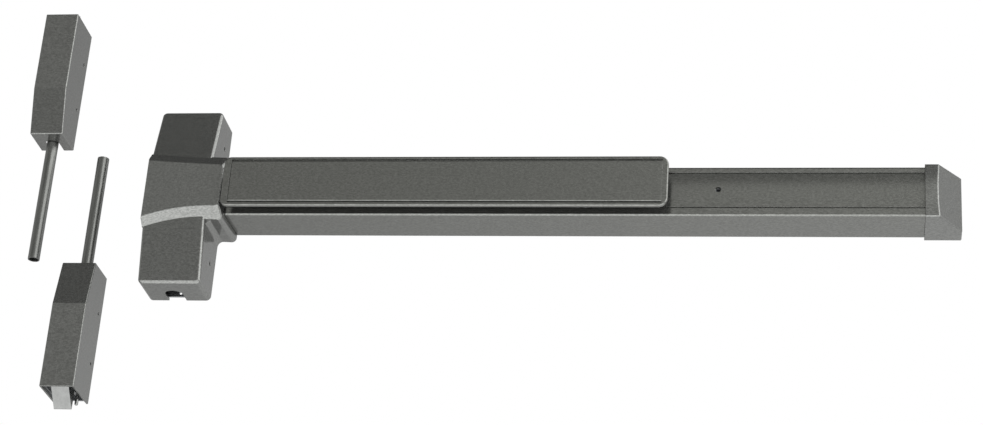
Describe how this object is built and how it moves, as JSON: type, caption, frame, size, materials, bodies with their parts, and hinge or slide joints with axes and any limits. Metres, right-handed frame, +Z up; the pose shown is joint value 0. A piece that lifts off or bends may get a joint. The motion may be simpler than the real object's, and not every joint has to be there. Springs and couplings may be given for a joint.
{
  "type": "vertical rod exit device",
  "caption": "Surface vertical rod exit device with push rail, centre case, and top and bottom rod latches shown with shortened rods",
  "frame": {"origin": "centre of the case's four mounting holes, on the door face, level with the rail's centreline", "axes": "+X along the rail away from the case, +Y into the door, +Z up the door"},
  "size_m": [1.0007, 0.0765, 0.4718],
  "materials": {
    "satin_cover": "fine satin grain",
    "satin_rail": "satin brushed along the rail",
    "rod_steel": "drawn tube, satin",
    "bolt_steel": "bright ground face",
    "plated_steel": "zinc plated",
    "spring_steel": "oiled spring wire",
    "screw_steel": "dark socket screws"
  },
  "bodies": {
    "housing": {"case_cover": "satin_cover", "case_cover_screws": "screw_steel", "case_chassis": "plated_steel", "lever_pivot_pins": "plated_steel", "splice_plate": "plated_steel", "rail_channel": "satin_rail", "filler_plate": "satin_rail", "end_cap": "satin_cover", "end_bracket": "plated_steel", "crank_bracket_left": "plated_steel", "crank_bracket_right": "plated_steel", "crank_pivot_pins": "plated_steel", "crank_spring_left": "spring_steel", "crank_spring_right": "spring_steel", "bracket_screws": "screw_steel", "dogging_bracket": "plated_steel", "top_latch_cover": "satin_cover", "top_latch_screws": "screw_steel", "top_latch_chassis": "plated_steel", "top_bolt_guide": "plated_steel", "top_connector_guide": "plated_steel", "top_trigger_spring": "spring_steel", "bottom_latch_cover": "satin_cover", "bottom_latch_screws": "screw_steel", "bottom_latch_chassis": "plated_steel", "bottom_bolt_guide": "plated_steel", "bottom_connector_guide": "plated_steel", "bottom_trigger_spring": "spring_steel"},
    "push_pad": {"pad_base": "satin_rail", "pad_face": "satin_rail", "pad_end_left": "satin_rail", "pad_end_right": "satin_rail", "pad_bracket_left": "plated_steel", "pad_bracket_right": "plated_steel", "pad_pins": "plated_steel"},
    "crank_left": {"bell_crank_left": "plated_steel"},
    "crank_right": {"bell_crank_right": "plated_steel"},
    "drive_bar": {"drive_bar": "plated_steel"},
    "upper_lever": {"upper_lift_lever": "plated_steel"},
    "lower_lever": {"lower_lift_lever": "plated_steel"},
    "top_lift": {"top_lift_slide": "plated_steel"},
    "bottom_lift": {"bottom_lift_slide": "plated_steel"},
    "top_rod": {"top_rod": "rod_steel", "top_rod_connector": "plated_steel", "top_connector_pin": "plated_steel", "top_bolt_spring": "spring_steel"},
    "bottom_rod": {"bottom_rod": "rod_steel", "bottom_rod_connector": "plated_steel", "bottom_connector_pin": "plated_steel", "bottom_bolt_spring": "spring_steel"},
    "top_bolt": {"top_latch_bolt": "bolt_steel"},
    "bottom_bolt": {"bottom_latch_bolt": "bolt_steel"},
    "top_trigger": {"top_trigger_pin": "bolt_steel"},
    "bottom_trigger": {"bottom_trigger_pin": "bolt_steel"},
    "dogging": {"dogging_spindle": "plated_steel", "dogging_hook": "plated_steel"}
  },
  "joints": [
    {"name": "pad_push", "type": "slide", "parent": "housing", "child": "push_pad", "axis": [0, 1, 0], "range_m": [0, 0.016], "stiffness_N_per_m": 900, "springref_m": -0.02},
    {"name": "crank_turn_left", "type": "hinge", "parent": "housing", "child": "crank_left", "pos_m": [0.13, -0.03, 0.0045], "axis": [0, 0, 1], "range_deg": [0, 38.94]},
    {"name": "crank_turn_right", "type": "hinge", "parent": "housing", "child": "crank_right", "pos_m": [0.43, -0.03, 0.0045], "axis": [0, 0, 1], "range_deg": [0, 38.94]},
    {"name": "bar_pull", "type": "slide", "parent": "housing", "child": "drive_bar", "axis": [-1, 0, 0], "range_m": [0, 0.012]},
    {"name": "upper_lever_turn", "type": "hinge", "parent": "housing", "child": "upper_lever", "pos_m": [-0.0198, -0.0197, 0.0185], "axis": [0, 1, 0], "range_deg": [0, 35.94]},
    {"name": "lower_lever_turn", "type": "hinge", "parent": "housing", "child": "lower_lever", "pos_m": [-0.0198, -0.0227, -0.0185], "axis": [0, -1, 0], "range_deg": [0, 35.94]},
    {"name": "top_lift", "type": "slide", "parent": "housing", "child": "top_lift", "axis": [0, 0, -1], "range_m": [0, 0.01141]},
    {"name": "bottom_lift", "type": "slide", "parent": "housing", "child": "bottom_lift", "axis": [0, 0, 1], "range_m": [0, 0.01141]},
    {"name": "top_rod_pull", "type": "slide", "parent": "housing", "child": "top_rod", "axis": [0, 0, -1], "range_m": [0, 0.01141]},
    {"name": "bottom_rod_pull", "type": "slide", "parent": "housing", "child": "bottom_rod", "axis": [0, 0, 1], "range_m": [0, 0.01141]},
    {"name": "top_bolt_press", "type": "slide", "parent": "top_rod", "child": "top_bolt", "axis": [0, 0, -1], "range_m": [0, 0.012], "stiffness_N_per_m": 400, "springref_m": -0.015, "deforming": ["top_bolt_spring"]},
    {"name": "bottom_bolt_press", "type": "slide", "parent": "bottom_rod", "child": "bottom_bolt", "axis": [0, 0, 1], "range_m": [0, 0.012], "stiffness_N_per_m": 400, "springref_m": -0.015, "deforming": ["bottom_bolt_spring"]},
    {"name": "top_trigger_press", "type": "slide", "parent": "housing", "child": "top_trigger", "axis": [0, 0, -1], "range_m": [0, 0.008], "stiffness_N_per_m": 120, "springref_m": -0.01, "deforming": ["top_trigger_spring"]},
    {"name": "bottom_trigger_press", "type": "slide", "parent": "housing", "child": "bottom_trigger", "axis": [0, 0, 1], "range_m": [0, 0.008], "stiffness_N_per_m": 120, "springref_m": -0.01, "deforming": ["bottom_trigger_spring"]},
    {"name": "dogging_turn", "type": "hinge", "parent": "housing", "child": "dogging", "pos_m": [0.5719, -0.03, 0.0017], "axis": [0, -1, 0], "range_deg": [0, 90]}
  ],
  "couplings": [
    {"joint": "crank_turn_left", "follows": "pad_push", "rad_per_m": 42.48},
    {"joint": "crank_turn_right", "follows": "pad_push", "rad_per_m": 42.48},
    {"joint": "bar_pull", "follows": "pad_push", "ratio": 0.75},
    {"joint": "upper_lever_turn", "follows": "pad_push", "rad_per_m": 39.203},
    {"joint": "lower_lever_turn", "follows": "pad_push", "rad_per_m": 39.203},
    {"joint": "top_lift", "follows": "pad_push", "ratio": 0.71342},
    {"joint": "bottom_lift", "follows": "pad_push", "ratio": 0.71342},
    {"joint": "top_rod_pull", "follows": "pad_push", "ratio": 0.71342},
    {"joint": "bottom_rod_pull", "follows": "pad_push", "ratio": 0.71342}
  ]
}
